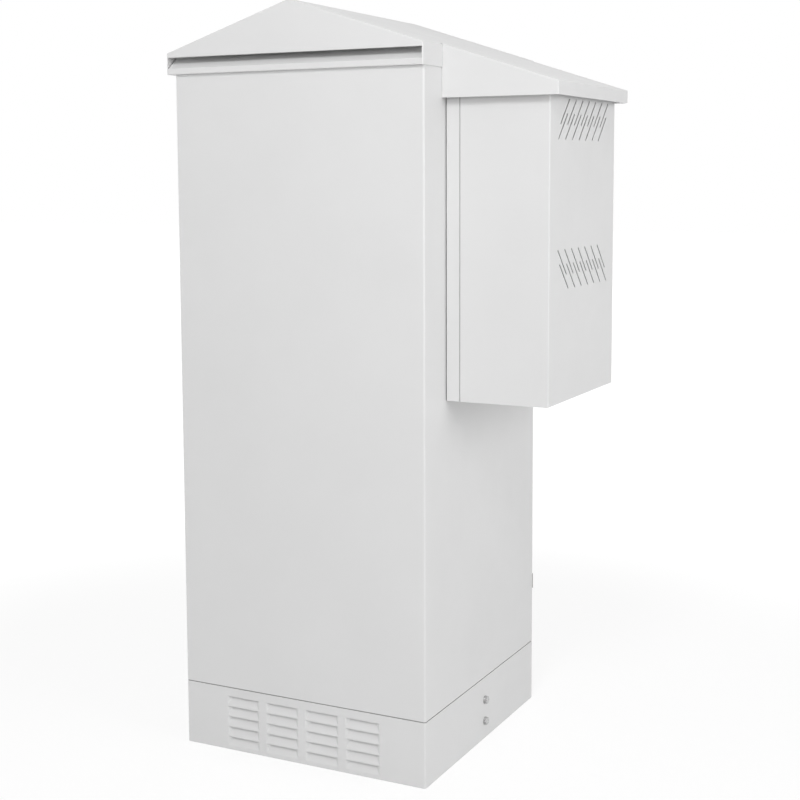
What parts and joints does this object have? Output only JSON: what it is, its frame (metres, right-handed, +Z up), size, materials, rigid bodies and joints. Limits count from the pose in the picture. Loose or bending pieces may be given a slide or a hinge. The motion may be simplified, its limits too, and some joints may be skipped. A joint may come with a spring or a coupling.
{
  "type": "roadside utility cabinet",
  "caption": "Upright steel street cabinet on a louvred plinth, with a pitched vented roof, a hinged rear door with rod lock, and a slotted heat exchanger box on one side.",
  "frame": {"origin": "centre of the anchor hole pattern, on the underside of the plinth", "axes": "+X towards the side unit, +Y towards the door, +Z up; the plain wall seen in the picture faces -Y"},
  "size_m": [0.9267, 0.6854, 1.7554],
  "materials": {
    "powder_coat": "fine smooth semi-gloss powder coat",
    "galvanised_steel": "zinc coated, dull",
    "fastener_steel": "bright zinc plated",
    "stainless_steel": "plain satin",
    "black_coating": "matt powder coat on die-cast zinc",
    "lock_chrome": "satin chrome",
    "black_rubber": "matt",
    "black_plastic": "matt moulded",
    "grey_plastic": "matt moulded",
    "aluminium": "mill finish",
    "copper_bar": "bare drawn copper"
  },
  "bodies": {
    "cabinet": {"plinth": "powder_coat", "plinth_seal": "black_rubber", "plinth_clamp_rail": "galvanised_steel", "plinth_clamp_bolts": "fastener_steel", "plinth_clamp_washers": "fastener_steel", "body_bolts": "fastener_steel", "body_bolt_nuts": "fastener_steel", "body_shell": "powder_coat", "base_plate": "galvanised_steel", "cable_entry_trim": "black_rubber", "top_plate": "galvanised_steel", "door_frame": "powder_coat", "door_gasket": "black_rubber", "rod_keepers": "galvanised_steel", "hinge_body_leaf_1": "stainless_steel", "hinge_body_leaf_2": "stainless_steel", "hinge_body_leaf_3": "stainless_steel", "hinge_pins": "stainless_steel", "roof_cover": "powder_coat", "roof_vent_tray": "powder_coat", "roof_bolts": "fastener_steel", "side_cap": "powder_coat", "side_cap_screws": "fastener_steel", "unit_gasket": "black_rubber", "unit_frame": "powder_coat", "unit_bolts": "fastener_steel", "unit_cover": "powder_coat", "unit_cover_screws": "fastener_steel", "unit_duct": "galvanised_steel", "exchanger_core": "aluminium", "inner_fan_housing": "black_plastic", "ambient_fan_housing": "black_plastic", "rail_support_lower_left": "galvanised_steel", "rail_support_lower_right": "galvanised_steel", "rail_support_upper_left": "galvanised_steel", "rail_support_upper_right": "galvanised_steel", "rack_rail_near_left": "galvanised_steel", "rack_rail_near_right": "galvanised_steel", "rack_rail_far_left": "galvanised_steel", "rack_rail_far_right": "galvanised_steel", "equipment_shelf": "galvanised_steel", "earth_bar": "copper_bar"},
    "door": {"door_panel": "powder_coat", "door_stiffeners": "powder_coat", "document_pocket": "grey_plastic", "hinge_door_leaf_1": "stainless_steel", "hinge_door_leaf_2": "stainless_steel", "hinge_door_leaf_3": "stainless_steel", "handle_base": "black_coating", "lock_bracket": "galvanised_steel", "rod_guides": "black_plastic"},
    "spindle": {"handle_spindle": "galvanised_steel", "lock_pinion": "galvanised_steel"},
    "lever": {"handle_lever": "black_coating", "lever_pin": "stainless_steel"},
    "cylinder": {"lock_cylinder": "lock_chrome"},
    "top_rod": {"upper_rod": "galvanised_steel"},
    "bottom_rod": {"lower_rod": "galvanised_steel"},
    "inner_rotor": {"inner_fan_rotor": "black_plastic"},
    "ambient_rotor": {"ambient_fan_rotor": "black_plastic"}
  },
  "joints": [
    {"name": "door_hinge", "type": "hinge", "parent": "cabinet", "child": "door", "pos_m": [0.29525, 0.333, 0.87725], "axis": [0, 0, -1], "range_deg": [0, 120]},
    {"name": "handle_turn", "type": "hinge", "parent": "door", "child": "spindle", "pos_m": [-0.232, 0.332, 0.96], "axis": [0, -1, 0], "range_deg": [0, 90]},
    {"name": "lever_lift", "type": "hinge", "parent": "spindle", "child": "lever", "pos_m": [-0.232, 0.3446, 0.96], "axis": [1, 0, 0], "range_deg": [0, 30]},
    {"name": "cylinder_turn", "type": "hinge", "parent": "door", "child": "cylinder", "pos_m": [-0.232, 0.332, 0.792], "axis": [0, -1, 0], "range_deg": [0, 90]},
    {"name": "top_rod_slide", "type": "slide", "parent": "door", "child": "top_rod", "axis": [0, 0, -1], "range_m": [0, 0.0201]},
    {"name": "bottom_rod_slide", "type": "slide", "parent": "door", "child": "bottom_rod", "axis": [0, 0, 1], "range_m": [0, 0.0201]},
    {"name": "inner_fan_spin", "type": "hinge", "parent": "cabinet", "child": "inner_rotor", "pos_m": [0.35, 0, 1.375], "axis": [1, 0, 0], "continuous": true},
    {"name": "ambient_fan_spin", "type": "hinge", "parent": "cabinet", "child": "ambient_rotor", "pos_m": [0.506, 0, 1.165], "axis": [1, 0, 0], "continuous": true}
  ],
  "couplings": [
    {"joint": "top_rod_slide", "follows": "handle_turn", "m_per_rad": 0.01275},
    {"joint": "bottom_rod_slide", "follows": "handle_turn", "m_per_rad": 0.01275}
  ]
}
